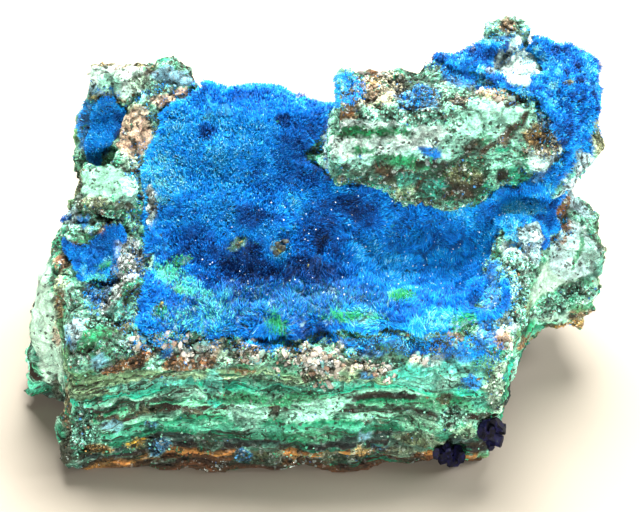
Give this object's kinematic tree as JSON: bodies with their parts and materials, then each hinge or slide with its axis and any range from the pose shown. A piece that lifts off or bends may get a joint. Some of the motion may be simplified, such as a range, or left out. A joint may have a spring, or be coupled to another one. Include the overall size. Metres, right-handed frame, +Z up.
{
  "type": "cyanotrichite mineral specimen",
  "caption": "Hand specimen of banded copper ore with a sloping hollow lined by a velvet crust of blue cyanotrichite under an overhanging ledge.",
  "frame": {"origin": "on the surface that the specimen rests on, below the middle of its bounding box", "axes": "+X along the banded front face, to its right; -Y out of the front face; +Z up"},
  "size_m": [0.0822, 0.0492, 0.0479],
  "materials": {
    "matrix": "rough banded copper ore, green, brown and cream",
    "cyanotrichite": "velvet of fine silky blue needles",
    "azurite": "dark indigo crystals, glassy"
  },
  "bodies": {
    "root": {"matrix": "matrix", "cyanotrichite_crust": "cyanotrichite", "crust_left_recess": "cyanotrichite", "crust_left_flank": "cyanotrichite", "azurite_low": "azurite", "azurite_side": "azurite"}
  },
  "joints": []
}
